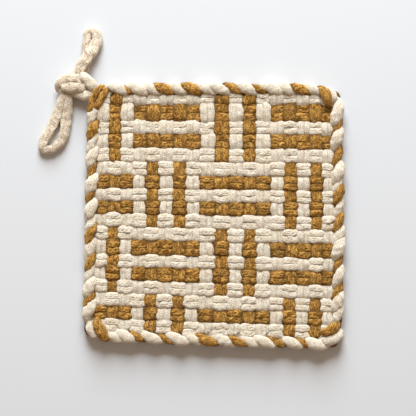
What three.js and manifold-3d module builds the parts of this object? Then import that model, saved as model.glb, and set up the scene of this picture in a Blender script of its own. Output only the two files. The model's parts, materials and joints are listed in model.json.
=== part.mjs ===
// A square potholder woven on a small loom from eighteen loops each way, lying flat on a table.
// Each loop is a ring of knitted tubing, so it crosses the mat as a doubled strand. The ends of
// the loops are chained into each other all round, and the last end, at one corner, holds a
// separate ring tied in a half knot, which is the hanging loop.
// Millimetres, +Z up. The mat's upper left corner carries the hanging loop.

import * as THREE from "three";
import { mergeVertices } from "three/addons/utils/BufferGeometryUtils.js";
import Module from "manifold-3d";

const { clamp, degToRad, lerp } = THREE.MathUtils;

// Driving dimensions
const LOOPS = 18; // loops each way
const PITCH = 8.0; // mean distance between neighbouring loops
const MAT_THICKNESS = 8.0; // woven part, over its highest crossings
const STRAND = 6.0; // diameter of one relaxed strand of the tubing
const CLEARANCE = 0.35; // between the mat and the hanging loop

// The mat lies a little out of square and its loops are unevenly packed. Each side of the weave
// bows through three places, measured from the mat's middle, and each loop has its own width.
const LEFT_SIDE = [-69.5, -71.0, -72.2]; // x from top to bottom
const RIGHT_SIDE = [70.5, 71.9, 70.6]; // x from top to bottom
const TOP_SIDE = [72.2, 72.6, 72.2]; // y from left to right
const BOTTOM_SIDE = [-68.9, -71.9, -73.6]; // y from left to right
const COLUMN_WIDTHS = [
  7.4, 7.2, 7.6, 7.6, 7.9, 8.3, 8.0, 7.9, 8.7, 8.8, 8.3, 7.8, 8.6, 7.9, 7.8, 7.7, 7.3, 7.0,
]; // from left to right
const ROW_WIDTHS = [
  6.5, 10.4, 7.5, 8.8, 8.0, 8.1, 8.1, 7.4, 7.8, 8.0, 7.9, 8.6, 7.6, 8.2, 7.8, 8.0, 7.7, 8.0,
]; // from top to bottom

// Relief of the weave, heights above the table
const DIMPLE_TOP = 5.4; // where four crossings meet, seen from above
const DIMPLE_BOTTOM = 2.2; // the same, seen from below
const STEP_HEIGHT = 6.2; // where a strand dives under its neighbour
const SHORT_MARGIN = 0.13; // from a crossing's end to its flat crown, in pitches
const LONG_MARGIN = 0.17; // from a crossing's side to its flat crown, in pitches
const GROOVE = 0.06; // half the groove between the two strands of a loop, in pitches

// Chained edge: one stitch for each loop end, leaning clockwise
const STITCHES = 4 * LOOPS;
const STITCH_LEAN = 1.45; // how far a stitch runs along the edge as it crosses it, in pitches
const STITCH_START = 0.34; // where the first stitch's valley lies, in pitches
const VALLEY_SIZE = 0.76; // size of the chain in a valley, against its size on a crest
const EDGE_OUTSET = 2.5; // from the weave's side to the middle of the chain
const CORNER_RADIUS = 1.35; // of the chain's middle line, in pitches
const CHAIN_MIDDLE = 4.5; // height of the middle of the chain
// Lines along the chain, from its inner side over the top, round and back underneath. facets
// is the number of points of each line on one stitch, the first of them in the stitch's valley.
const CHAIN_SECTION = [
  { out: -3.4, up: 6.2, facets: 2 },
  { out: -1.5, up: 8.7, facets: 3 },
  { out: 1.6, up: 8.3, facets: 3 },
  { out: 3.6, up: 4.4, facets: 3 },
  { out: 2.2, up: 0.0, facets: 2 },
  { out: -2.5, up: 0.0, facets: 2 },
];

// The last loop's end: its two legs reach from the corner to the knot.
const CORNER_LEGS = [
  [
    [-67.0, 72.0, 4.6],
    [-72.0, 77.4, 6.0],
    [-77.4, 82.4, 6.4],
    [-82.5, 82.6, 6.2],
  ],
  [
    [-67.0, 72.0, 4.0],
    [-73.0, 72.6, 4.6],
    [-79.0, 71.2, 4.4],
    [-84.4, 72.8, 4.6],
  ],
];

// The hanging ring is doubled twice over. Each half is listed from the hole that it shares with
// the last loop to its far end. spread is half the distance between its two strands, and turn
// is the angle, in degrees, by which the pair is rolled out of the table's plane.
const UPPER_HALF = [
  { x: -76.4, y: 76.2, z: 7.4, spread: 2.2, turn: 0 },
  { x: -81.6, y: 79.0, z: 9.9, spread: 2.6, turn: 0 },
  { x: -86.6, y: 78.8, z: 10.0, spread: 2.6, turn: 5 },
  { x: -90.2, y: 77.0, z: 8.6, spread: 2.3, turn: 15 },
  { x: -91.2, y: 74.8, z: 5.4, spread: 2.0, turn: 30 },
  { x: -88.8, y: 75.2, z: 3.4, spread: 1.6, turn: 20 },
  { x: -84.8, y: 79.2, z: 3.6, spread: 1.6, turn: 40 },
  { x: -80.8, y: 84.8, z: 5.4, spread: 2.0, turn: 70 },
  { x: -78.4, y: 89.8, z: 6.0, spread: 2.3, turn: 100 },
  { x: -75.4, y: 94.0, z: 6.0, spread: 2.6, turn: 140 },
  { x: -73.0, y: 100.2, z: 5.6, spread: 3.3, turn: 170 },
  { x: -71.4, y: 105.2, z: 5.2, spread: 3.3, turn: 180 },
];
const LOWER_HALF = [
  { x: -76.8, y: 75.6, z: 4.6, spread: 1.8, turn: 0 },
  { x: -82.0, y: 74.8, z: 5.0, spread: 1.8, turn: 0 },
  { x: -86.6, y: 74.2, z: 5.6, spread: 1.8, turn: 0 },
  { x: -88.8, y: 71.4, z: 5.4, spread: 2.2, turn: 0 },
  { x: -89.4, y: 66.4, z: 4.2, spread: 2.7, turn: 0 },
  { x: -90.6, y: 60.6, z: 3.2, spread: 3.2, turn: 0 },
  { x: -92.6, y: 53.6, z: 2.8, spread: 4.2, turn: 0 },
  { x: -95.0, y: 46.8, z: 2.8, spread: 4.6, turn: 0 },
  { x: -98.2, y: 41.4, z: 2.8, spread: 3.6, turn: 0 },
];
const STRAND_SIDES = 8;
const STEP_LENGTH = 3.4; // along a strand
const BALL_SIDES = 12;
const BALL_RINGS = 8;
const TIP_ANGLES = [0.25 * Math.PI, 0.5 * Math.PI]; // round the end of a half of the ring
const JOINT_SWELL = 0.15; // where two strands join
const KNOT_MIDDLE = [-84.6, 77.4, 6.0];
const KNOT_HALF_SIZE = [6.6, 5.4, 5.0];

const CREAM = 0xd8cab3;
const OCHRE = 0x966e34;
const ROUGHNESS = 0.95;
const SAME_PLACE = 1e-4; // points closer than this are one point

// A bow through three values that stand at t = 0, t = 0.5 and t = 1
const bow = ([start, middle, end], t) =>
  start * (1 - t) * (1 - 2 * t) + middle * 4 * t * (1 - t) + end * t * (2 * t - 1);

// The share of a side that lies before a place on it, counted in loops
function shareBefore(widths, place) {
  const total = widths.reduce((sum, width) => sum + width);
  const covered = widths.reduce(
    (sum, width, i) => sum + width * clamp(place - i, 0, 1), 0);
  return covered / total;
}

// The place in the plan of a point of the weave, counted in loops from its upper left corner.
// Past the weave's sides the plan goes on evenly.
function onMat(column, row) {
  const insideColumn = clamp(column, 0, LOOPS);
  const insideRow = clamp(row, 0, LOOPS);
  const across = shareBefore(COLUMN_WIDTHS, insideColumn);
  const down = shareBefore(ROW_WIDTHS, insideRow);
  const x = lerp(bow(LEFT_SIDE, down), bow(RIGHT_SIDE, down), across);
  const y = lerp(bow(TOP_SIDE, across), bow(BOTTOM_SIDE, across), down);
  return {
    x: x + (column - insideColumn) * PITCH,
    y: y - (row - insideRow) * PITCH,
  };
}

// Points that neighbouring faces share, and the triangles between them
class Surface {
  constructor() {
    this.places = [];
    this.numbers = new Map();
    this.triangles = [];
  }

  point(column, row, height) {
    const key = `${column.toFixed(4)} ${row.toFixed(4)} ${height.toFixed(4)}`;
    if (!this.numbers.has(key)) {
      const { x, y } = onMat(column, row);
      this.numbers.set(key, this.places.length / 3);
      this.places.push(x, y, height);
    }
    return this.numbers.get(key);
  }

  face(corners) {
    for (let i = 1; i < corners.length - 1; i += 1) {
      this.triangles.push(corners[0], corners[i], corners[i + 1]);
    }
  }

  geometry() {
    const geometry = new THREE.BufferGeometry();
    geometry.setAttribute("position", new THREE.Float32BufferAttribute(this.places, 3));
    geometry.setIndex(this.triangles);
    return geometry;
  }
}

// In plain weave the across-going loop is on top at every other crossing.
const rowLoopOnTop = (column, row) => (column + row) % 2 === 0;

// A flat crown on sloping sides. Each side is the list of points along one edge of the base.
function addCrown(surface, sides, crown) {
  sides.forEach((side, i) => {
    surface.face([crown[(i + 1) % 4], crown[i], ...side]);
  });
  surface.face(crown);
}

function addTopCrossing(surface, column, row) {
  const corner = (dc, dr) => surface.point(column + dc, row + dr, DIMPLE_TOP);
  const middle = (dc) => surface.point(column + dc, row + 0.5, STEP_HEIGHT);
  const crown = (left, top, right, bottom) =>
    [[left, top], [left, bottom], [right, bottom], [right, top]].map(([dc, dr]) =>
      surface.point(column + dc, row + dr, MAT_THICKNESS));
  const [topLeft, bottomLeft, bottomRight, topRight] = [
    corner(0, 0), corner(0, 1), corner(1, 1), corner(1, 0)];
  if (rowLoopOnTop(column, row)) {
    // The two strands of the loop lie side by side with a groove between them.
    const [left, right] = [middle(0), middle(1)];
    addCrown(
      surface,
      [[topLeft, left], [left, right], [right, topRight], [topRight, topLeft]],
      crown(SHORT_MARGIN, LONG_MARGIN, 1 - SHORT_MARGIN, 0.5 - GROOVE),
    );
    addCrown(
      surface,
      [[left, bottomLeft], [bottomLeft, bottomRight], [bottomRight, right], [right, left]],
      crown(SHORT_MARGIN, 0.5 + GROOVE, 1 - SHORT_MARGIN, 1 - LONG_MARGIN),
    );
    return;
  }
  const leftSide = column === 0 ? [topLeft, bottomLeft] : [topLeft, middle(0), bottomLeft];
  const rightSide = column === LOOPS - 1
    ? [bottomRight, topRight]
    : [bottomRight, middle(1), topRight];
  addCrown(
    surface,
    [leftSide, [bottomLeft, bottomRight], rightSide, [topRight, topLeft]],
    crown(LONG_MARGIN, SHORT_MARGIN, 1 - LONG_MARGIN, 1 - SHORT_MARGIN),
  );
}

function addBottomCrossing(surface, column, row) {
  const lowCorner = ([dc, dr]) => surface.point(column + dc, row + dr, DIMPLE_BOTTOM);
  const base = [[0, 0], [1, 0], [1, 1], [0, 1]].map(lowCorner);
  const columnLoopBelow = rowLoopOnTop(column, row);
  const marginAcross = columnLoopBelow ? LONG_MARGIN : SHORT_MARGIN;
  const marginDown = columnLoopBelow ? SHORT_MARGIN : LONG_MARGIN;
  const crown = [
    [marginAcross, marginDown],
    [1 - marginAcross, marginDown],
    [1 - marginAcross, 1 - marginDown],
    [marginAcross, 1 - marginDown],
  ].map(([dc, dr]) => surface.point(column + dc, row + dr, 0));
  addCrown(surface, base.map((point, i) => [point, base[(i + 1) % 4]]), crown);
}

// The weave's border, clockwise from its upper left corner, as points with their distance
// along it. grooves is true on top, where a doubled strand has a point in its groove.
function weaveBorder(surface, height, grooves) {
  const border = [];
  for (let i = 0; i < STITCHES; i += 1) {
    const side = Math.floor(i / LOOPS);
    const step = i % LOOPS;
    const corners = [[step, 0], [LOOPS, step], [LOOPS - step, LOOPS], [0, LOOPS - step]];
    const [column, row] = corners[side];
    border.push({ at: i, point: surface.point(column, row, height) });
    const upright = side === 1 || side === 3;
    const cell = side === 1 ? [LOOPS - 1, row] : [0, row - 1];
    if (grooves && upright && rowLoopOnTop(...cell)) {
      border.push({ at: i + 0.5, point: surface.point(column, cell[1] + 0.5, STEP_HEIGHT) });
    }
  }
  return border;
}

// A point of the chain: at is counted in stitches, clockwise from the upper left corner.
function chainPoint(surface, at, out, up) {
  const reach = LOOPS / 2 + EDGE_OUTSET / PITCH;
  const straight = reach - CORNER_RADIUS;
  const quarter = (Math.PI / 2) * CORNER_RADIUS;
  const wrapped = (at + STITCHES) % STITCHES;
  const side = Math.floor(wrapped / LOOPS);
  const run = ((wrapped - side * LOOPS) / LOOPS) * (2 * straight + quarter);
  const along = clamp(run - quarter / 2, 0, 2 * straight) - straight;
  const beyond = run - quarter / 2 - straight - along;
  const bend = Math.PI / 2 - beyond / CORNER_RADIUS;
  const radius = CORNER_RADIUS + out / PITCH;
  const across = along + radius * Math.cos(bend);
  const away = straight + radius * Math.sin(bend);
  const turned = [[across, away], [away, -across], [-across, -away], [-away, across]][side];
  return surface.point(LOOPS / 2 + turned[0], LOOPS / 2 - turned[1], up);
}

// A closed line of points, cut open and listed from its start, with its first point again at
// its end. measure names the places by which the points are put in order.
function cutOpen(line, measure) {
  const nodes = line
    .map((node) => ({ place: (node[measure] + STITCHES) % STITCHES, point: node.point }))
    .sort((one, other) => one.place - other.place);
  return [...nodes, { place: nodes[0].place + STITCHES, point: nodes[0].point }];
}

// Triangles between two closed lines that run the same way round
function stitchTogether(surface, first, second, measure) {
  const here = cutOpen(first, measure);
  const there = cutOpen(second, measure);
  let i = 0;
  let k = 0;
  while (i < here.length - 1 || k < there.length - 1) {
    const hereIsNext = k === there.length - 1
      || (i < here.length - 1 && here[i + 1].place <= there[k + 1].place);
    if (hereIsNext) {
      surface.face([here[i].point, here[i + 1].point, there[k].point]);
      i += 1;
    } else {
      surface.face([here[i].point, there[k + 1].point, there[k].point]);
      k += 1;
    }
  }
}

// The points of each line along the chain. at is where a point lies, and stitch is where its
// stitch crosses the middle of the chain.
function chainLines(surface) {
  const outs = CHAIN_SECTION.map(({ out }) => out);
  const width = Math.max(...outs) - Math.min(...outs);
  return CHAIN_SECTION.map(({ out, up, facets }) =>
    Array.from({ length: STITCHES * facets }, (_, i) => {
      const stitch = STITCH_START + i / facets;
      const at = stitch - STITCH_LEAN * (out / width);
      const size = i % facets === 0 ? VALLEY_SIZE : 1;
      const height = up === 0 ? 0 : CHAIN_MIDDLE + (up - CHAIN_MIDDLE) * size;
      return { at, stitch, point: chainPoint(surface, at, out * size, height) };
    }));
}

function wovenSurface() {
  const surface = new Surface();
  for (let column = 0; column < LOOPS; column += 1) {
    for (let row = 0; row < LOOPS; row += 1) {
      addTopCrossing(surface, column, row);
      addBottomCrossing(surface, column, row);
    }
  }
  const chain = chainLines(surface);
  stitchTogether(surface, weaveBorder(surface, DIMPLE_TOP, true), chain[0], "at");
  for (let i = 0; i < chain.length - 1; i += 1) {
    stitchTogether(surface, chain[i], chain[i + 1], "stitch");
  }
  stitchTogether(surface, chain.at(-1), weaveBorder(surface, DIMPLE_BOTTOM, false), "at");
  return surface.geometry();
}

// A round strand along a smooth curve through the points
function strandGeometry(points, diameter) {
  const path = new THREE.CatmullRomCurve3(points, false, "centripetal");
  const section = new THREE.Shape().absarc(0, 0, diameter / 2, 0, 2 * Math.PI);
  return new THREE.ExtrudeGeometry(section, {
    extrudePath: path,
    steps: Math.round(path.getLength() / STEP_LENGTH),
    curveSegments: STRAND_SIDES / 2,
  });
}

function ballGeometry(middle, halfSizes) {
  const ball = new THREE.SphereGeometry(1, BALL_SIDES, BALL_RINGS);
  ball.scale(...halfSizes);
  ball.translate(...middle);
  return ball;
}

// The two strands of one half of the ring, each from the shared hole to the half's far end
function strandPair(rows) {
  const middle = rows.map(({ x, y, z }) => new THREE.Vector3(x, y, z));
  const path = new THREE.CatmullRomCurve3(middle, false, "centripetal");
  const offsets = rows.map(({ spread, turn }, i) => {
    const forward = path.getTangent(i / (rows.length - 1));
    const sideways = new THREE.Vector3(-forward.y, forward.x, 0).normalize();
    const roll = degToRad(turn);
    return sideways.applyAxisAngle(forward, roll).multiplyScalar(spread);
  });
  const forward = path.getTangent(1).multiplyScalar(rows.at(-1).spread);
  const roundTip = (hand, angle) => middle.at(-1).clone()
    .addScaledVector(offsets.at(-1), hand * Math.cos(angle))
    .addScaledVector(forward, Math.sin(angle));
  return [1, -1].map((hand) => [
    ...middle.map((point, i) => point.clone().addScaledVector(offsets[i], hand)),
    ...TIP_ANGLES.map((angle) => roundTip(hand, angle)),
  ]);
}

const wasm = await Module();
wasm.setup();

function toSolid(geometry) {
  const bare = geometry.clone();
  Object.keys(bare.attributes)
    .filter((name) => name !== "position")
    .forEach((name) => bare.deleteAttribute(name));
  const merged = mergeVertices(bare, SAME_PLACE);
  return new wasm.Manifold(new wasm.Mesh({
    numProp: 3,
    vertProperties: new Float32Array(merged.attributes.position.array),
    triVerts: new Uint32Array(merged.index.array),
  }));
}

function toGeometry(solid) {
  const mesh = solid.getMesh();
  const geometry = new THREE.BufferGeometry();
  geometry.setAttribute("position", new THREE.BufferAttribute(mesh.vertProperties, 3));
  geometry.setIndex(new THREE.BufferAttribute(mesh.triVerts, 1));
  geometry.computeVertexNormals();
  return geometry;
}

const joined = (geometries) =>
  geometries.map(toSolid).reduce((whole, solid) => whole.add(solid));

// The hanging ring with its half knot, grown all over by extra
function hangingLoop(extra) {
  const strands = [UPPER_HALF, LOWER_HALF].flatMap(strandPair);
  const diameter = STRAND + 2 * extra;
  const joint = diameter / 2 + JOINT_SWELL;
  const joints = strands.flatMap((points) => [points[0], points.at(-1)]);
  return joined([
    ...strands.map((points) => strandGeometry(points, diameter)),
    ...joints.map((point) => ballGeometry(point.toArray(), [joint, joint, joint])),
    ballGeometry(KNOT_MIDDLE, KNOT_HALF_SIZE.map((size) => size + extra)),
  ]).trimByPlane([0, 0, 1], -extra);
}

// The mat, with the last loop's legs reaching from its corner into the knot
function wovenMat() {
  const legs = CORNER_LEGS.map((leg) =>
    strandGeometry(leg.map((point) => new THREE.Vector3(...point)), STRAND));
  return joined([wovenSurface(), ...legs])
    .subtract(hangingLoop(CLEARANCE))
    .trimByPlane([0, 0, 1], 0);
}

const potholder = new THREE.Group();

function addPiece(name, geometry, color) {
  const material = new THREE.MeshStandardMaterial({ color, roughness: ROUGHNESS, metalness: 0 });
  const piece = new THREE.Mesh(geometry, material);
  piece.name = name;
  potholder.add(piece);
}

addPiece("woven_mat", toGeometry(wovenMat()), OCHRE);
addPiece("hanging_loop", toGeometry(hangingLoop(0)), CREAM);

// The origin is on the table, in the middle of the footprint of mat and hanging loop.
const footprint = new THREE.Box3().setFromObject(potholder);
const middle = footprint.getCenter(new THREE.Vector3());
potholder.position.set(-middle.x, -middle.y, 0);

export default potholder;
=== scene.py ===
"""A square potholder woven from loops of knitted cotton tubing, with its hanging loop.

Eighteen loops run each way. Every loop is a closed ring of tubing that crosses the mat twice,
side by side, over and under the loops of the other direction. Its two ends are chained: each
is drawn out through the end before it and laid over the edge, clockwise. The last end, at the
upper left corner, holds a separate ring, which is tied in a half knot and hangs the mat.

Sizes are in millimetres, measured from the mat's middle, until a mesh is made.
"""

import json
import math

import bpy
import numpy as np
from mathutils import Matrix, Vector


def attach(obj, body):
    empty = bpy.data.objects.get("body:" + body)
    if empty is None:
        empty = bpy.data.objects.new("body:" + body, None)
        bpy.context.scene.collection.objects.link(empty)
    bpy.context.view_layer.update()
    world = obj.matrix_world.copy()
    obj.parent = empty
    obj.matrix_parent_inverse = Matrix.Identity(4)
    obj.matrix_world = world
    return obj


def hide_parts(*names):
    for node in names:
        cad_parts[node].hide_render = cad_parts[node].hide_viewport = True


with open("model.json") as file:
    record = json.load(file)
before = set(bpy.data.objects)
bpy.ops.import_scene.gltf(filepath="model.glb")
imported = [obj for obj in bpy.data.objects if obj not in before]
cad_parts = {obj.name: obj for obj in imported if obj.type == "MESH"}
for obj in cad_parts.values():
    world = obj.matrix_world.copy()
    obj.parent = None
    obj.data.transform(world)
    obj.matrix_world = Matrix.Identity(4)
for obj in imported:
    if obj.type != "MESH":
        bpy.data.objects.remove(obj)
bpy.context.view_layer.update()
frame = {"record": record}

MM = 0.001

# Plan of the weave
LOOPS = 18
PITCH = 8.0
LEFT_SIDE = (-69.2, -70.7, -71.9)  # x from top to bottom
RIGHT_SIDE = (70.2, 71.6, 70.3)  # x from top to bottom
TOP_SIDE = (72.2, 72.6, 72.2)  # y from left to right
BOTTOM_SIDE = (-68.9, -71.9, -73.6)  # y from left to right
COLUMN_WIDTHS = (
    7.4, 7.2, 7.6, 7.6, 7.9, 8.3, 8.0, 7.9, 8.7, 8.8, 8.3, 7.8, 8.6, 7.9, 7.8, 7.7, 7.3, 7.0,
)  # from left to right
ROW_WIDTHS = (
    6.5, 10.4, 7.5, 8.8, 8.0, 8.1, 8.1, 7.4, 7.8, 8.0, 7.9, 8.6, 7.6, 8.2, 7.8, 8.0, 7.7, 8.0,
)  # from top to bottom

# The order of the loops' colours, C for cream and O for ochre
COLUMN_COLOURS = "COC" + 3 * "COCOC"
ROW_COLOURS = 3 * "COCOC" + "COC"

# Weave
STRAND_HEIGHT = 4.2  # where one loop crosses another
LOFT = 0.25  # how much taller a strand is between crossings, where nothing presses on it
WEAVE_STEP = 0.25  # from one station of a strand to the next, in loops
# A loop's two strands in the weave. middle is the mean height of their middle lines, and wave
# is how far they go above and below it. spread is from the loop's middle to each strand's, and
# width is a strand's own, both in loop widths. Where they would overlap, the strands are
# pressed flat against each other. A section is an ellipse where its boxiness is 2, and squarer
# where it is more, on its free side and on the side that is pressed. swell is how much wider a
# loop is on top than in the middle of its climb. course is the length of a knit stitch along
# the tubing.
ROW = {
    "middle": 3.6, "wave": 1.4, "spread": 0.23, "width": 0.54, "free": 2.6, "pressed": 4.8,
    "swell": 0.14, "course": 1.9}
COLUMN = {
    "middle": 3.8, "wave": 1.5, "spread": 0.10, "width": 0.77, "free": 2.6, "pressed": 3.0,
    "swell": 0.14, "course": 1.1}
ROW_LIFT = (-0.3, 0.35, 0.2)  # how much higher the rows ride, from the mat's top to its bottom
WAVE_FLATNESS = 0.3  # of the way up and down, at its crests
SWELL_FLATNESS = 0.6  # of the change in width, at its crests
DRIFT = 0.16  # how far a strand strays from its line, in millimetres
PAIR_DRIFT = 0.25  # how far a loop does
WIDTH_DRIFT = 0.06  # how much a strand's width strays, in its own widths
NO_WALL = 9.0  # distance to the other strand where it doesn't press on a strand

# Chained edge
STITCHES = 4 * LOOPS
EDGE_OUTSET = 2.2  # from the weave's side to the middle of the chain
CORNER_RADIUS = 1.35  # of the chain's middle line, in pitches
CHAIN_MIDDLE = 4.5  # height of the middle of the chain
# The half of a loop's end that lies on top, from the weave out to its far end. along is
# counted in pitches, clockwise from the loop's middle, out from the middle of the chain, and
# up from the height of its middle. size is a share of the strand's width and height on a
# crest. The half below mirrors it, and up to the fork it also lies on the other side of the
# loop's middle.
FORK = 0.2
STITCH = (
    {"along": -0.20, "out": -3.6, "up": 0.0, "size": 0.86},
    {"along": -0.13, "out": -1.2, "up": 0.2, "size": 0.70},
    {"along": 0.00, "out": 0.7, "up": 1.0, "size": 0.64},
    {"along": 0.24, "out": 1.5, "up": 1.9, "size": 0.80},
    {"along": 0.56, "out": 1.1, "up": 2.4, "size": 1.00},
    {"along": 0.92, "out": 0.1, "up": 2.5, "size": 1.06},
    {"along": 1.26, "out": -1.1, "up": 2.2, "size": 0.94},
    {"along": 1.52, "out": -2.0, "up": 1.4, "size": 0.72},
    {"along": 1.64, "out": -2.5, "up": 0.0, "size": 0.58},
)
# The big stitch before a corner reaches over the corner of the weave. Its lower half isn't
# pulled in as far and shows outside, beyond the small stitch that turns the corner.
CORNER_STITCH = (
    {"along": -0.20, "out": -3.6, "up": 0.0, "size": 0.86},
    {"along": -0.06, "out": -1.0, "up": 0.2, "size": 0.70},
    {"along": 0.14, "out": 1.0, "up": 1.2, "size": 0.70},
    {"along": 0.36, "out": 1.4, "up": 2.3, "size": 0.92},
    {"along": 0.62, "out": 0.0, "up": 3.0, "size": 1.10},
    {"along": 0.95, "out": -1.7, "up": 3.3, "size": 1.18},
    {"along": 1.40, "out": -3.2, "up": 3.2, "size": 1.08},
    {"along": 1.95, "out": -4.0, "up": 2.6, "size": 0.84},
    {"along": 2.30, "out": -4.2, "up": 1.2, "size": 0.60},
)
CORNER_STITCH_BELOW = (
    {"along": -0.06, "out": -1.0, "up": 0.2, "size": 0.70},
    {"along": 0.20, "out": 0.6, "up": 1.6, "size": 0.80},
    {"along": 0.70, "out": 0.8, "up": 2.2, "size": 0.80},
    {"along": 1.20, "out": 2.2, "up": 1.8, "size": 0.78},
    {"along": 1.60, "out": 3.7, "up": 1.0, "size": 0.84},
    {"along": 1.95, "out": 1.4, "up": 1.8, "size": 0.76},
    {"along": 2.25, "out": -2.6, "up": 1.8, "size": 0.60},
)
TURNING_STITCH = (
    {"along": -0.20, "out": -3.6, "up": 0.0, "size": 0.86},
    {"along": -0.12, "out": -1.0, "up": 0.3, "size": 0.66},
    {"along": 0.02, "out": 1.4, "up": 1.4, "size": 0.70},
    {"along": 0.28, "out": 2.4, "up": 2.6, "size": 0.92},
    {"along": 0.62, "out": 2.0, "up": 3.0, "size": 1.08},
    {"along": 0.96, "out": 1.2, "up": 2.8, "size": 1.00},
    {"along": 1.22, "out": 0.2, "up": 1.8, "size": 0.76},
    {"along": 1.34, "out": -0.6, "up": 0.0, "size": 0.60},
)
# The small stitch that turns the lower right corner is wide, and stands further out at first.
WIDE_TURNING_STITCH = (
    {"along": -0.20, "out": -3.6, "up": 0.0, "size": 0.86},
    {"along": -0.18, "out": -0.6, "up": 0.4, "size": 0.70},
    {"along": -0.06, "out": 2.2, "up": 1.4, "size": 0.80},
    {"along": 0.12, "out": 3.0, "up": 2.4, "size": 0.98},
    {"along": 0.36, "out": 2.4, "up": 3.1, "size": 1.10},
    {"along": 0.66, "out": 1.1, "up": 3.3, "size": 1.16},
    {"along": 1.00, "out": -0.2, "up": 3.0, "size": 1.10},
    {"along": 1.30, "out": -1.2, "up": 2.0, "size": 0.84},
    {"along": 1.44, "out": -1.8, "up": 0.0, "size": 0.64},
)
WIDE_TURN = 2 * LOOPS - 1  # that stitch's number in the chain
# How the stitches round the corners stray, by their numbers in the chain, from the upper right
# corner clockwise: along the chain in pitches, out in millimetres above and below, and in size
CORNER_STRAYS = {
    16: {"along": 0.28, "out": -1.5, "below": -1.8, "size": 1.0},
    17: {"along": 0.05, "out": -2.0, "below": -2.0, "size": 1.0},
    34: {"along": -0.08, "out": -1.0, "below": 0.6, "size": 0.94},
    35: {"along": 0.0, "out": 0.0, "below": 0.0, "size": 1.08},
    36: {"along": -0.10, "out": 0.8, "below": 0.8, "size": 1.05},
    52: {"along": 0.10, "out": -0.3, "below": -0.3, "size": 1.0},
}
NO_STRAY = {"along": 0.0, "out": 0.0, "below": 0.0, "size": 1.0}
ANY_STRAY = {"along": 0.10, "out": 0.2}  # how far every stitch strays at random
AFTER_CORNER = 0.2  # how much further along the first stitch of each side lies, in pitches
# A loop that comes out from under the weave makes a big stitch, and the next one a small one.
BIG = {"rise": 1.12, "size": 1.05, "uneven": 0.06}
SMALL = {"rise": 0.85, "size": 0.93, "uneven": 0.10}
CHAIN_WIDTH = {"C": 6.0, "O": 5.3}  # of the strand on the crest of a stitch
CHAIN_HEIGHT = 4.4
CHAIN_BOXINESS = 2.1
CHAIN_COURSE = 1.4
# The end of the second row's loop is the last one chained. It lies over the corner with both
# of its strands on top, and bends down over the far edge. Its places are x, y and height.
LAST_STITCH = (
    (-69.0, 58.4, 4.4),
    (-71.0, 59.4, 4.2),
    (-73.0, 61.4, 6.2),
    (-73.1, 64.4, 7.4),
    (-72.3, 67.6, 7.6),
    (-70.9, 71.0, 7.5),
    (-69.1, 73.8, 7.0),
    (-67.8, 75.4, 5.8),
    (-66.8, 75.8, 3.8),
    (-65.4, 75.4, 3.8),
    (-64.4, 74.6, 5.6),
    (-64.8, 72.8, 6.9),
    (-66.4, 69.8, 7.6),
    (-68.6, 66.2, 7.8),
    (-70.2, 63.4, 6.8),
    (-71.0, 61.8, 4.8),
    (-71.4, 60.8, 3.8),
    (-68.6, 62.0, 3.8),
)
LAST_STITCH_STRAND = 3.9

# The hanging ring. It is doubled through the mat's corner, and each half's two strands are
# listed from there to its end. The upper half goes over the knot's front and round its left
# side before it stands out above, and the lower half goes through the knot. Each strand is
# given by x, y, height and width.
UPPER_HALF = (
    {"left": (-77.6, 79.4, 3.8, 4.0), "right": (-76.6, 75.4, 4.2, 4.4)},
    {"left": (-80.6, 81.2, 5.4, 4.8), "right": (-80.4, 75.4, 6.8, 5.6)},
    {"left": (-84.8, 81.8, 6.2, 5.2), "right": (-84.8, 75.4, 7.8, 6.1)},
    {"left": (-89.2, 80.8, 6.4, 5.4), "right": (-88.6, 75.3, 6.8, 4.8)},
    {"left": (-92.0, 77.6, 6.0, 5.4), "right": (-90.0, 74.8, 5.2, 4.4)},
    {"left": (-91.6, 74.6, 3.8, 5.0), "right": (-89.0, 73.4, 3.4, 4.4)},
    {"left": (-88.8, 76.4, 2.5, 4.6), "right": (-86.2, 74.4, 2.5, 4.4)},
    {"left": (-85.6, 81.8, 2.7, 4.8), "right": (-82.4, 79.2, 2.4, 4.8)},
    {"left": (-81.4, 85.0, 4.2, 5.8), "right": (-78.6, 83.6, 2.3, 5.2)},
    {"left": (-79.0, 88.8, 5.0, 6.8), "right": (-76.8, 87.4, 2.3, 5.4)},
    {"left": (-76.0, 93.0, 5.2, 6.8), "right": (-75.8, 91.8, 2.3, 5.0)},
    {"left": (-72.7, 97.2, 4.6, 6.8), "right": (-76.6, 96.4, 2.3, 4.6)},
    {"left": (-70.6, 101.2, 3.4, 6.7), "right": (-76.2, 101.0, 2.4, 5.0)},
    {"left": (-69.4, 105.4, 2.7, 6.6), "right": (-75.8, 105.4, 2.5, 5.2)},
    {"left": (-70.6, 109.2, 2.5, 5.0), "right": (-74.0, 109.6, 2.4, 4.6)},
)
LOWER_HALF = (
    {"left": (-76.8, 77.2, 3.8, 4.0), "right": (-77.4, 74.2, 3.8, 4.0)},
    {"left": (-81.8, 76.8, 4.2, 4.0), "right": (-82.0, 73.6, 4.0, 4.0)},
    {"left": (-87.2, 76.6, 4.4, 4.2), "right": (-85.4, 73.6, 4.2, 4.2)},
    {"left": (-88.8, 73.2, 4.4, 4.2), "right": (-86.2, 71.6, 4.4, 4.2)},
    {"left": (-91.0, 67.2, 3.8, 5.2), "right": (-86.6, 66.8, 3.8, 5.2)},
    {"left": (-93.3, 60.2, 2.6, 6.8), "right": (-87.7, 60.2, 2.6, 6.8)},
    {"left": (-96.4, 53.4, 2.4, 6.0), "right": (-88.6, 53.2, 2.4, 6.2)},
    {"left": (-99.4, 48.2, 2.3, 5.8), "right": (-89.2, 48.2, 2.3, 5.8)},
    {"left": (-101.9, 43.4, 2.3, 5.4), "right": (-91.6, 43.2, 2.3, 5.4)},
    {"left": (-102.0, 39.8, 2.3, 5.2), "right": (-94.9, 40.2, 2.3, 5.0)},
    {"left": (-100.2, 38.6, 2.3, 4.8), "right": (-97.6, 38.9, 2.3, 4.8)},
)
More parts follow.
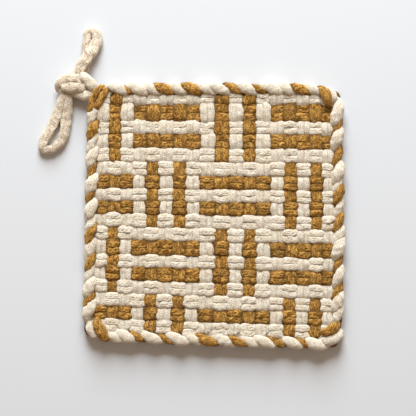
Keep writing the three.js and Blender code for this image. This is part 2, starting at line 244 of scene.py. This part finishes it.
RING_HEIGHT = 4.6  # the most that the ring's section is tall
RING_PRESSED = 9.0  # boxiness on the side where its other strand lies
RING_TIP = 2  # rows at the end of each half, where one strand turns into the other
# The last loop's end reaches from the mat's corner into the knot, by x, y, height and width.
CORNER_END = (
    (-69.5, 69.6, 4.0, 5.4),
    (-72.8, 71.0, 4.6, 6.0),
    (-76.2, 71.2, 5.2, 6.6),
    (-80.2, 71.9, 5.0, 6.0),
    (-84.4, 73.8, 3.8, 5.0),
    (-85.6, 77.8, 3.6, 5.0),
    (-84.2, 81.2, 3.0, 4.6),
    (-81.4, 83.2, 3.4, 4.6),
    (-78.6, 83.2, 5.4, 4.8),
    (-76.4, 81.4, 6.8, 5.6),
    (-74.2, 79.0, 7.0, 6.6),
    (-72.0, 76.6, 6.6, 6.4),
    (-69.4, 74.2, 5.0, 5.4),
)

# Fineness of the meshes
SIDES = 20
STEP = 0.8
STEEP = 0.8  # the share of climb in a strand's way above which its section isn't set upright

# Relief of the tubing. Each kind of fold has a number of folds around the tubing, a usual
# length along it and a depth, and comes in a few waves that each have a length of their own.
FOLDS = (
    {"around": 1, "length": 9.0, "depth": 0.07},
    {"around": 2, "length": 6.0, "depth": 0.07},
    {"around": 3, "length": 5.0, "depth": 0.05},
    {"around": 5, "length": 4.0, "depth": 0.03},
)
FOLD_WAVES = 3
FOLD_RANGE = (0.6, 1.6)  # fewest and most waves along a piece, in its usual number
LUMPS = 0.16  # unevenness from point to point
# Painted shade in the creases between crossings, set by a strand's height: a strand gets none
# this far above and below the height about which it goes up and down, and gets all of it when
# it is nearer by the depth below.
CREST = 3.5
CREASE_SHADE_DEPTH = 0.9
SEED = 18
MAP_STARTS = 1000  # how many knit stitches a piece's map may start at

# The columns of a strand's course, which has a row for each station: its place, the section's
# width and height, its boxiness on the free and on the pressed side, the distance to the plane
# where the loop's other strand presses on it, the direction to that strand, and the height
# about which the strand goes up and down
PLACE, WIDTH, HEIGHT = slice(0, 3), slice(3, 4), slice(4, 5)
FREE, PRESSED, WALL = slice(5, 6), slice(6, 7), slice(7, 8)
OTHER, LEVEL = slice(8, 10), slice(10, 11)


def bow(side, t):
    """A bow through three values that stand at t = 0, t = 0.5 and t = 1."""
    start, middle, end = side
    return start * (1 - t) * (1 - 2 * t) + middle * 4 * t * (1 - t) + end * t * (2 * t - 1)


def share_before(widths, place):
    """The share of a side that lies before a place on it, counted in loops."""
    covered = np.concatenate([[0], np.cumsum(widths)]) / np.sum(widths)
    return np.interp(place, np.arange(len(covered)), covered)


def on_mat(column, row):
    """The plan of places that are counted in loops from the weave's upper left corner."""
    column, row = np.asarray(column, float), np.asarray(row, float)
    inside_column, inside_row = np.clip(column, 0, LOOPS), np.clip(row, 0, LOOPS)
    across = share_before(COLUMN_WIDTHS, inside_column)
    down = share_before(ROW_WIDTHS, inside_row)
    left, right = bow(LEFT_SIDE, down), bow(RIGHT_SIDE, down)
    top, bottom = bow(TOP_SIDE, across), bow(BOTTOM_SIDE, across)
    x = left + (right - left) * across + (column - inside_column) * PITCH
    y = top + (bottom - top) * down - (row - inside_row) * PITCH
    return np.stack([x, y], axis=-1)


def on_chain(at, out):
    """The plan of places on the chain, counted in stitches clockwise from the upper left."""
    reach = LOOPS / 2 + EDGE_OUTSET / PITCH
    straight = reach - CORNER_RADIUS
    quarter = math.pi / 2 * CORNER_RADIUS
    side, start = np.divmod(np.asarray(at, float) % STITCHES, LOOPS)
    run = start / LOOPS * (2 * straight + quarter)
    along = np.clip(run - quarter / 2, 0, 2 * straight) - straight
    beyond = run - quarter / 2 - straight - along
    bend = math.pi / 2 - beyond / CORNER_RADIUS
    radius = CORNER_RADIUS + np.asarray(out, float) / PITCH
    across = along + radius * np.cos(bend)
    away = straight + radius * np.sin(bend)
    turns = -side * math.pi / 2
    x = across * np.cos(turns) - away * np.sin(turns)
    y = across * np.sin(turns) + away * np.cos(turns)
    return on_mat(LOOPS / 2 + x, LOOPS / 2 - y)


def stations(
        places, width, height, free, pressed=None, wall=NO_WALL, other=(0.0, 0.0), level=0.0):
    """A piece of a strand's course, from its columns or from values that hold all along it."""
    pressed = free if pressed is None else pressed
    values = (width, height, free, pressed, wall, *other, level)
    return np.column_stack([places, *[np.broadcast_to(value, len(places)) for value in values]])


def smooth_noise(places, size, random):
    """An even drift with a new random value at every crossing."""
    return np.interp(places, np.arange(LOOPS) + 0.5, random.normal(0, size, LOOPS))


def flattened(wave, flatness):
    """A wave between -1 and 1 that stays nearer to its crests."""
    return wave * (1 + flatness - flatness * wave**2)


def weave_run(number, across, hand, pair_drift, random):
    """One strand of a loop on its way over the mat, from its low to its high end."""
    form, widths = (ROW, ROW_WIDTHS) if across else (COLUMN, COLUMN_WIDTHS)
    places = np.arange(WEAVE_STEP, LOOPS, WEAVE_STEP)
    parity = 1 if number % 2 == 0 else -1
    on_top = parity * np.cos(math.pi * (places - 0.5)) * (1 if across else -1)
    swell = 1 + form["swell"] * flattened(on_top, SWELL_FLATNESS)
    line = number + 0.5 + hand * form["spread"] * swell
    plan = on_mat(places, line) if across else on_mat(line, places)
    sideways = np.array([0.0, -1.0]) if across else np.array([1.0, 0.0])
    own_drift = smooth_noise(places, DRIFT, random)
    plan = plan + sideways * (pair_drift(places) + own_drift)[:, None]
    lift = bow(ROW_LIFT, number / LOOPS) if across else -bow(ROW_LIFT, places / LOOPS)
    wave = form["wave"] * flattened(on_top, WAVE_FLATNESS)
    heights = form["middle"] + wave + lift + smooth_noise(places, DRIFT, random)
    loop_width = widths[number]
    unevenness = smooth_noise(places, WIDTH_DRIFT, random)
    width = loop_width * form["width"] * (swell + unevenness)
    wall = loop_width * form["spread"] * swell + hand * own_drift
    height = STRAND_HEIGHT * (1 + LOFT * (1 - on_top**2))
    return stations(
        np.column_stack([plan, heights]), width, height, form["free"], form["pressed"],
        wall, -hand * sideways, form["middle"] + lift)


def lies_along(row, hand):
    """How far along the chain a row of a stitch lies, in its half above or below."""
    other_side = hand < 0 and row["along"] <= FORK
    return -row["along"] if other_side else row["along"]


def stitch(number, colour, random):
    """A loop's end in the chain: out of the weave, over the edge, round and back below."""
    ahead = random.normal(0, ANY_STRAY["along"])
    kind = BIG if number % 2 == 0 else SMALL
    stray = CORNER_STRAYS.get(number, NO_STRAY)
    scale = kind["size"] * stray["size"] * (1 + random.normal(0, kind["uneven"]))
    above = below = STITCH
    if number % LOOPS == LOOPS - 2:
        above, below = CORNER_STITCH, CORNER_STITCH_BELOW
    if number % LOOPS == LOOPS - 1:
        above = below = WIDE_TURNING_STITCH if number == WIDE_TURN else TURNING_STITCH
    if number % LOOPS == 0:
        ahead += AFTER_CORNER
    rows = [(row, 1) for row in above] + [(row, -1) for row in reversed(below[:-1])]
    start = number + 0.5 + ahead + stray["along"]
    at = start + np.array([lies_along(row, hand) for row, hand in rows])
    out = random.normal(0, ANY_STRAY["out"]) + np.array([
        row["out"] + stray["out" if hand > 0 else "below"] for row, hand in rows])
    up = np.array([row["up"] * hand for row, hand in rows]) * kind["rise"]
    size = np.array([row["size"] for row, _ in rows]) * scale
    places = np.column_stack([on_chain(at, out), CHAIN_MIDDLE + up])
    return stations(
        places, size * CHAIN_WIDTH[colour], size * CHAIN_HEIGHT, CHAIN_BOXINESS,
        level=CHAIN_MIDDLE)


def loop_end(number, colour, random):
    """The end of a loop, by its number in the chain. The last two are each their own."""
    if number == STITCHES - 1:
        *places, width = np.array(CORNER_END).T
        places = np.column_stack(places)
        return stations(places, width, np.minimum(width, RING_HEIGHT), CHAIN_BOXINESS)
    if number == STITCHES - 2:
        size = LAST_STITCH_STRAND
        return stations(np.array(LAST_STITCH), size, size, CHAIN_BOXINESS)
    return stitch(number, colour, random)


def loop_course(number, across, colour, random):
    """A whole loop. Each of its strands arrives at the end that the chain lays over the edge."""
    drifts = random.normal(0, PAIR_DRIFT, LOOPS)

    def pair_drift(places):
        return np.interp(places, np.arange(LOOPS) + 0.5, drifts)

    first = -1 if across else 1
    away = weave_run(number, across, first, pair_drift, random)
    back = weave_run(number, across, -first, pair_drift, random)[::-1]
    # The chain runs along the top to the right, and clockwise round to the left side.
    mirrored = LOOPS - 1 - number
    far, near = (LOOPS + number, 3 * LOOPS + mirrored) if across else (2 * LOOPS + mirrored, number)
    return np.concatenate([
        away, loop_end(far, colour, random), back, loop_end(near, colour, random)])


def unit(vectors):
    return vectors / np.linalg.norm(vectors, axis=-1, keepdims=True)


def ring_half(rows, first, second, pressed):
    """One half of the hanging ring, out along its first strand and back along its second."""
    course = []
    for side, other_side, part in ((first, second, rows), (second, first, rows[::-1])):
        strand = np.array([row[side] for row in part])
        width = strand[:, 3]
        other = (np.array([row[other_side] for row in part]) - strand)[:, :2]
        distance = np.linalg.norm(other, axis=1)
        turning = np.array([row in rows[-RING_TIP:] for row in part])
        course.append(stations(
            strand[:, PLACE], width, np.minimum(width, RING_HEIGHT), CHAIN_BOXINESS, RING_PRESSED,
            np.where(turning | (not pressed), NO_WALL, distance / 2), unit(other).T))
    return course


def ring_course():
    """The whole hanging ring, its upper half first."""
    return np.concatenate([
        *ring_half(UPPER_HALF, "left", "right", pressed=False),
        *ring_half(LOWER_HALF, "right", "left", pressed=True)])


def smooth_course(course, step):
    """The closed course through its stations as a smooth curve, at even steps."""
    closed = np.concatenate([course[-1:], course, course[:2]])
    spans = np.linalg.norm(np.diff(closed[:, PLACE], axis=0), axis=1)
    slopes = np.diff(closed, axis=0) / spans[:, None]
    weights = (spans[1:] / (spans[1:] + spans[:-1]))[:, None]
    tangents = slopes[:-1] * weights + slopes[1:] * (1 - weights)
    lengths = spans[1:-1]
    starts = np.concatenate([[0], np.cumsum(lengths)])
    count = int(round(starts[-1] / step))
    along = np.arange(count) * starts[-1] / count
    part = np.searchsorted(starts, along, side="right") - 1
    span = lengths[part][:, None]
    t = (along - starts[part])[:, None] / span
    before, after = closed[1:-2][part], closed[2:-1][part]
    leaving, arriving = tangents[:-1][part] * span, tangents[1:][part] * span
    smooth = (
        before * (1 + 2 * t) * (1 - t) ** 2
        + leaving * t * (1 - t) ** 2
        + after * t**2 * (3 - 2 * t)
        + arriving * t**2 * (t - 1))
    # Only the places need a smooth curve. The rest changes evenly from station to station.
    fine = before * (1 - t) + after * t
    fine[:, PLACE] = smooth[:, PLACE]
    return fine


def section_frames(points):
    """For each point of a closed course, the directions across its section: side and up."""
    forward = unit(np.roll(points, -1, axis=0) - np.roll(points, 1, axis=0))
    up = np.empty_like(forward)
    current = np.array([0.0, 0.0, 1.0])
    for i, direction in enumerate(forward):
        current = unit(current - direction * (current @ direction))
        up[i] = current
    side = np.cross(forward, up)
    # Where the strand runs level, its section is upright. Half a turn changes nothing.
    level = unit(np.array([0.0, 0.0, 1.0]) - forward * forward[:, 2:])
    angle = np.arctan2(np.sum(level * side, axis=1), np.sum(level * up, axis=1))
    angle = (angle + math.pi / 2) % math.pi - math.pi / 2
    steep = np.abs(forward[:, 2]) > STEEP
    places = np.arange(len(points))
    angle = np.unwrap(angle[~steep], period=math.pi)
    angle = np.interp(places, places[~steep], angle)[:, None]
    return side * np.cos(angle) - up * np.sin(angle), up * np.cos(angle) + side * np.sin(angle)


def wrinkles(around, along, length, random):
    """Shallow folds of the tubing, in millimetres, that close on themselves both ways."""
    total = np.zeros(np.broadcast(around, along).shape)
    for fold in FOLDS:
        for _ in range(FOLD_WAVES):
            waves = round(length / fold["length"] * random.uniform(*FOLD_RANGE))
            phase = random.uniform(0, 2 * math.pi)
            turning = 1 if random.uniform() < 0.5 else -1
            total += fold["depth"] * np.sin(
                fold["around"] * around + turning * 2 * math.pi * waves * along / length + phase)
    return total


def lumps(shape, random):
    """Unevenness from point to point over a closed grid, evened out with the points beside."""
    field = random.normal(0, LUMPS, shape)
    beside = sum(np.roll(field, step, axis) for step in (1, -1) for axis in (0, 1))
    return (field + beside / 2) / 3


def tube_corners(course, along, length, random):
    """The corners around each point of a smooth course, and which the other strand flattens."""
    side, up = section_frames(course[:, PLACE])
    around = (np.arange(SIDES) / SIDES * 2 * math.pi)[None, :]
    cosine, sine = np.cos(around), np.sin(around)
    towards = np.sign(np.sum(side[:, :2] * course[:, OTHER], axis=1))[:, None]
    power = 2 / np.where(cosine * towards > 0, course[:, PRESSED], course[:, FREE])
    flat = np.sign(cosine) * np.abs(cosine) ** power
    tall = np.sign(sine) * np.abs(sine) ** power
    relief = wrinkles(around, along, length, random) + lumps((len(course), SIDES), random)
    across = flat * (course[:, WIDTH] / 2 + relief)
    rise = tall * (course[:, HEIGHT] / 2 + relief)
    on_wall = (across * towards > course[:, WALL]) & (towards != 0)
    across = np.where(on_wall, course[:, WALL] * towards, across)
    corners = (
        course[:, None, PLACE] + side[:, None, :] * across[..., None]
        + up[:, None, :] * rise[..., None])
    corners[..., 2] = np.maximum(corners[..., 2], 0)
    return corners, on_wall


def tube_faces(count):
    """The faces of a closed tube by its corners, turned outwards."""
    here, turn = np.arange(count)[:, None], np.arange(SIDES)[None, :]
    after, beside = (here + 1) % count, (turn + 1) % SIDES
    corners = [(here, turn), (after, turn), (after, beside), (here, beside)]
    return np.stack([point * SIDES + side for point, side in corners], axis=-1).reshape(-1, 4)


def tube_map(along, length):
    """The map of a closed tube's faces: turns around it and millimetres along it."""
    ends, turn = np.append(along, length)[:, None], np.arange(SIDES)[None, :]
    low, high = ends[:-1], ends[1:]
    left, right = turn / SIDES, (turn + 1) / SIDES
    corners = [(left, low), (left, high), (right, high), (right, low)]
    places = [np.stack(np.broadcast_arrays(*corner), axis=-1) for corner in corners]
    return np.stack(places, axis=-2).reshape(-1, 2)


def tube_mesh(name, course, stitch_length, random):
    """A closed tube of knitted fabric along a course. Its map counts turns and knit stitches."""
    fine = smooth_course(course, STEP)
    points = fine[:, PLACE]
    spans = np.linalg.norm(np.roll(points, -1, axis=0) - points, axis=1)
    along, length = (np.cumsum(spans) - spans)[:, None], spans.sum()
    corners, on_wall = tube_corners(fine, along, length, random)
    faces = tube_faces(len(fine))
    first_stitch = random.integers(MAP_STARTS)
    stitches = round(length / stitch_length)
    places = tube_map(along, length) * [1.0, stitches / length] + [0.0, first_stitch]

    mesh = bpy.data.meshes.new(name)
    mesh.vertices.add(on_wall.size)
    mesh.vertices.foreach_set("co", ((corners.reshape(-1, 3) + MAT_SHIFT) * MM).ravel())
    mesh.loops.add(faces.size)
    mesh.loops.foreach_set("vertex_index", faces.ravel())
    mesh.polygons.add(len(faces))
    mesh.polygons.foreach_set("loop_start", np.arange(len(faces)) * 4)
    mesh.update(calc_edges=True)
    mesh.validate()
    # The flats where two strands meet have no part in the roundness of what is seen.
    mesh.polygons.foreach_set("use_smooth", ~on_wall.ravel()[faces].all(axis=1))
    # Painted shade for the creases between crossings: 0 on a strand's crests, 1 deep in the weave.
    below_crest = CREST - np.abs(corners[..., 2] - fine[:, LEVEL])
    crease_shades = mesh.attributes.new("crease_shade", "FLOAT", "POINT")
    crease_shades.data.foreach_set("value", np.clip(below_crest / CREASE_SHADE_DEPTH, 0, 1).ravel())
    layer = mesh.uv_layers.new(name="tube")
    layer.data.foreach_set("uv", places.ravel())
    return mesh


# The mat's middle in the shared frame: the resting face is under the middle of a crossing.
MOUNT_PLACE = (8.5, 8.5)  # in loops
mount = np.array(frame["record"]["mounts"][0]["pos_m"][:2]) / MM
MAT_SHIFT = np.append(mount - on_mat(*MOUNT_PLACE), 0.0)


class Shader:
    """A material's nodes, made by calls that return their output sockets."""

    def __init__(self, name):
        self.material = bpy.data.materials.new(name)
        self.material.use_nodes = True
        self.tree = self.material.node_tree
        self.tree.nodes.clear()

    def node(self, kind, inputs, output, **settings):
        made = self.tree.nodes.new("ShaderNode" + kind)
        for key, value in settings.items():
            setattr(made, key, value)
        for key, value in inputs.items():
            if isinstance(value, bpy.types.NodeSocket):
                self.tree.links.new(value, made.inputs[key])
            else:
                made.inputs[key].default_value = value
        return None if output is None else made.outputs[output]

    def math(self, operation, *values):
        return self.node("Math", dict(enumerate(values)), 0, operation=operation)

    def weighted(self, parts):
        """The sum of values, each times its weight."""
        total = 0.0
        for value, weight in parts:
            total = self.math("MULTIPLY_ADD", value, weight, total)
        return total

    def spread(self, value, low, high):
        """How far a value is on its way from low, as 0, to high, as 1."""
        return self.node("MapRange", {"Value": value, "From Min": low, "From Max": high}, "Result")

    def mix(self, share, first, second):
        inputs = {"Factor": share, 6: first, 7: second}
        return self.node("Mix", inputs, 2, data_type="RGBA")

    def finish(self, surface):
        self.node("OutputMaterial", {"Surface": surface}, None)
        return self.material


def linear(red, green, blue):
    """A colour given as it shows on a screen, from 0 to 255, as shaders want it."""
    shown = np.array([red, green, blue]) / 255
    return (*np.where(shown > 0.04045, ((shown + 0.055) / 1.055) ** 2.4, shown / 12.92), 1.0)


# Knit stitches and yarn
WALES = 8  # knit stitches around the tubing
LEG_CLIMB = 0.8  # how far a stitch's leg climbs on its way out, in stitches
LEG_FALL = {"end": 1.5, "side": 2.0}  # how late a leg falls off towards its ends and sides
SWAY = {"around": 1.2, "along": 2.0}  # how far noise moves the lines of stitches, in stitches
NOISE_RADIUS = 1.5  # of the ring around the tubing that noise is read off, in stitches
# Noise by its scale, its detail, and how much longer its patches are along the tubing
NOISES = {
    "patches": {"scale": 0.35, "detail": 2.0, "stretch": 1.0},
    "grain": {"scale": 4.4, "detail": 2.0, "stretch": 1.6},
    "fibres": {"scale": 5.5, "detail": 2.0, "stretch": 4.0},
    "sway": {"scale": 0.8, "detail": 2.0, "stretch": 1.0},
    # Noise that makes the painted shade in the gaps between stitches uneven
    "gap_noise": {"scale": 3.4, "detail": 1.0, "stretch": 1.0},
}
TONE_WEIGHTS = {"patches": 0.15, "grain": 0.7, "fibres": 0.6, "leg": 0.5}
TONE_RANGE = (0.65, 1.25)  # tones at which the yarn has its dark and its light colour
GAP_SHADE_START = 0.05  # where the painted shade in the gaps between legs begins, past what the noise adds on average
GAP_SHADE_RAMP = 0.55  # from there to full painted shade in a gap
BUMP_HEIGHT = 0.35 * MM
BUMP_WEIGHTS = {"leg": 0.3, "fall": -0.4, "fibres": 0.6}
COTTON_SURFACE = {
    "Roughness": 0.95, "Diffuse Roughness": 1.0, "Specular IOR Level": 0.1,
    "Subsurface Radius": (1.0, 1.0, 1.0), "Subsurface Scale": 0.8 * MM,
    "Sheen Weight": 0.2, "Sheen Roughness": 0.7,
}
# The cream, the ochre and the ring's yarn. The tones lie between light and dark. The shade colour
# is painted shade: it covers the gap share of the yarn in the gaps between stitches, and the crease
# share in the creases between crossings, where shade falls. open is how much sooner the gaps begin,
# their unevenness how unevenly they do, by noise, and glow how much light goes through the yarn.
YARNS = {
    "C": {
        "name": "cream_cotton", "light": (238, 231, 216), "dark": (227, 212, 187),
        "painted_shade": (154, 116, 76), "gap_shade_share": 0.58, "crease_shade_share": 0.0,
        "open": 0.0, "gap_unevenness": 1.3, "glow": 0.6, "sheen": (255, 245, 230)},
    "O": {
        "name": "ochre_cotton", "light": (226, 175, 91), "dark": (123, 75, 3),
        "painted_shade": (50, 22, 0), "gap_shade_share": 0.9, "crease_shade_share": 0.65,
        "open": 0.0, "gap_unevenness": 1.3, "glow": 0.6, "sheen": (240, 200, 140)},
    "R": {
        "name": "ring_cotton", "light": (243, 235, 218), "dark": (226, 210, 184),
        "painted_shade": (172, 138, 100), "gap_shade_share": 0.85, "crease_shade_share": 0.0,
        "open": 0.10, "gap_unevenness": 0.4, "glow": 0.8, "sheen": (255, 245, 230)},
}


def knitted_cotton(yarn):
    """Tubing of heathered yarn. Its map counts turns around it and knit stitches along it."""
    shader = Shader(yarn["name"])
    place = shader.node("UVMap", {}, "UV", uv_map="tube")
    turns = shader.node("SeparateXYZ", {"Vector": place}, "X")
    along = turns.node.outputs["Y"]
    # The colour of the painted shade in the gaps between stitches and in the creases between
    # crossings
    painted_shade = linear(*yarn["painted_shade"])

    # Noise is read off a ring around the tubing, so that it closes on itself.
    angle = shader.math("MULTIPLY", turns, 2 * math.pi)
    ring = shader.node("CombineXYZ", {
        "X": shader.math("MULTIPLY", shader.math("COSINE", angle), NOISE_RADIUS),
        "Y": shader.math("MULTIPLY", shader.math("SINE", angle), NOISE_RADIUS),
        "Z": along}, 0)

    def noise(scale, detail, stretch):
        """Noise whose patches are longer along the tubing by a stretch."""
        scales = {0: ring, 1: (scale, scale, scale / stretch)}
        scaled = shader.node("VectorMath", scales, 0, operation="MULTIPLY")
        return shader.node("TexNoise", {"Vector": scaled, "Scale": 1.0, "Detail": detail}, 0)

    values = {name: noise(**form) for name, form in NOISES.items()}

    # Knit stitches: each is a V of two slanted legs, and each leg has a tone of its own.
    sway = values["sway"]
    wale = shader.weighted([(sway, SWAY["around"]), (turns, float(WALES))])
    from_middle = shader.math("ABSOLUTE", shader.math("SUBTRACT", shader.math("FRACT", wale), 0.5))
    course = shader.math("MULTIPLY_ADD", sway, SWAY["along"], along)
    course = shader.math("MULTIPLY_ADD", from_middle, 2 * LEG_CLIMB, course)
    leg = shader.math("FLOOR", shader.math("MULTIPLY", wale, 2.0))
    number = shader.node("CombineXYZ", {
        "X": shader.math("MODULO", leg, float(2 * WALES)),
        "Y": shader.math("FLOOR", course)}, 0)
    values["leg"] = shader.node("TexWhiteNoise", {"Vector": number}, "Value")

    # How near a place is to a leg's ends and to its sides, from 0 to 1
    lengthways = shader.math("MULTIPLY_ADD", shader.math("FRACT", course), 2.0, -1.0)
    sideways = shader.math("MULTIPLY_ADD", from_middle, 4.0, -1.0)
    near_end = shader.math("POWER", shader.math("ABSOLUTE", lengthways), LEG_FALL["end"])
    near_side = shader.math("POWER", shader.math("ABSOLUTE", sideways), LEG_FALL["side"])
    values["fall"] = shader.math("ADD", near_end, near_side)

    tone = shader.weighted([(values[name], weight) for name, weight in TONE_WEIGHTS.items()])
    tones = shader.spread(tone, *TONE_RANGE)
    colour = shader.mix(tones, linear(*yarn["dark"]), linear(*yarn["light"]))
    # Painted shade in the gaps between knit legs, at their ends and sides, made uneven by noise
    gap_shade_depth = shader.weighted([(values["gap_noise"], yarn["gap_unevenness"]), (near_side, near_end)])
    shut = yarn["gap_unevenness"] / 2 + GAP_SHADE_START - yarn["open"]
    in_gap_shade = shader.spread(gap_shade_depth, shut, shut + GAP_SHADE_RAMP)
    colour = shader.mix(shader.math("MULTIPLY", in_gap_shade, yarn["gap_shade_share"]), colour, painted_shade)
    # Painted shade in the creases between crossings, mixed towards the shade colour.
    in_crease_shade = shader.node("Attribute", {}, "Fac", attribute_name="crease_shade")
    colour = shader.mix(shader.math("MULTIPLY", in_crease_shade, yarn["crease_shade_share"]), colour, painted_shade)

    height = shader.weighted([(values[name], weight) for name, weight in BUMP_WEIGHTS.items()])
    bump = shader.node("Bump", {"Height": height, "Strength": 1.0, "Distance": BUMP_HEIGHT}, 0)
    return shader.finish(shader.node("BsdfPrincipled", {
        **COTTON_SURFACE, "Base Color": colour, "Subsurface Weight": yarn["glow"],
        "Sheen Tint": linear(*yarn["sheen"]), "Normal": bump}, 0))


MATERIALS = {colour: knitted_cotton(yarn) for colour, yarn in YARNS.items()}


def add_piece(name, course, stitch_length, colour, stands_for, random):
    """A tube of its own, which stands for a node of the frame or for a part of it."""
    mesh = tube_mesh(name, course, stitch_length, random)
    mesh.materials.append(MATERIALS[colour])
    piece = bpy.data.objects.new(name, mesh)
    bpy.context.scene.collection.objects.link(piece)
    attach(piece, "root")
    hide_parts(stands_for)


random = np.random.default_rng(SEED)
for number in range(LOOPS):
    for across, colours, kind, form in (
            (False, COLUMN_COLOURS, "column", COLUMN), (True, ROW_COLOURS, "row", ROW)):
        colour = colours[number]
        course = loop_course(number, across, colour, random)
        name = f"{kind}_loop_{number + 1:02d}"
        add_piece(name, course, form["course"], colour, "woven_mat", random)
add_piece("hanging_ring", ring_course(), CHAIN_COURSE, "R", "hanging_loop", random)


# Stage: a pale table, window light from the far side and a camera straight above, in metres
TABLE_SIDE = 4.0
TABLE_SURFACE = {
    "Base Color": (0.70, 0.708, 0.72, 1.0), "Roughness": 0.6, "Specular IOR Level": 0.3,
}
ROOM = {"Color": (1.0, 0.77, 0.58, 1.0), "Strength": 0.33}
WINDOW = {
    "place": (-0.05, 1.5, 0.9), "width": 0.9, "height": 1.15,
    "watts": 64.0, "colour": (0.845, 0.915, 0.975),
}
PHOTO_SIDE = 416  # the picture's side, in pixels
PIXEL = 0.594  # a pixel on the table, in millimetres
MAT_MIDDLE = (214.0, 215.0)  # the mat's middle in the picture
CAMERA_HEIGHT = 0.9
SHARP_HEIGHT = 0.006  # the height above the table at which PIXEL holds
SENSOR_SIDE = 36.0  # in millimetres
NEAREST_SEEN, FURTHEST_SEEN = 0.01, 10.0


def add_table():
    half = TABLE_SIDE / 2
    corners = [(-half, -half, 0), (half, -half, 0), (half, half, 0), (-half, half, 0)]
    mesh = bpy.data.meshes.new("table_top")
    mesh.from_pydata(corners, [], [(0, 1, 2, 3)])
    shader = Shader("pale_table")
    mesh.materials.append(shader.finish(shader.node("BsdfPrincipled", TABLE_SURFACE, 0)))
    table = bpy.data.objects.new("table_top", mesh)
    bpy.context.scene.collection.objects.link(table)


def add_room():
    world = bpy.data.worlds.new("room")
    world.use_nodes = True
    for key, value in ROOM.items():
        world.node_tree.nodes["Background"].inputs[key].default_value = value
    bpy.context.scene.world = world


def add_window():
    light = bpy.data.lights.new("window", "AREA")
    light.shape = "RECTANGLE"
    light.size, light.size_y = WINDOW["width"], WINDOW["height"]
    light.energy = WINDOW["watts"]
    light.color = WINDOW["colour"]
    window = bpy.data.objects.new("window", light)
    window.location = WINDOW["place"]
    window.rotation_mode = "QUATERNION"
    window.rotation_quaternion = (-Vector(WINDOW["place"])).to_track_quat("-Z", "Y")
    bpy.context.scene.collection.objects.link(window)


def add_camera():
    data = bpy.data.cameras.new("camera")
    data.sensor_width = SENSOR_SIDE
    data.lens = SENSOR_SIDE * (CAMERA_HEIGHT - SHARP_HEIGHT) / (PHOTO_SIDE * PIXEL * MM)
    data.clip_start, data.clip_end = NEAREST_SEEN, FURTHEST_SEEN
    camera = bpy.data.objects.new("camera", data)
    centre = PHOTO_SIDE / 2
    x = (centre - MAT_MIDDLE[0]) * PIXEL + MAT_SHIFT[0]
    y = (MAT_MIDDLE[1] - centre) * PIXEL + MAT_SHIFT[1]
    camera.location = (x * MM, y * MM, CAMERA_HEIGHT)
    bpy.context.scene.collection.objects.link(camera)
    bpy.context.scene.camera = camera


add_table()
add_room()
add_window()
add_camera()
bpy.context.scene.view_settings.view_transform = "Standard"
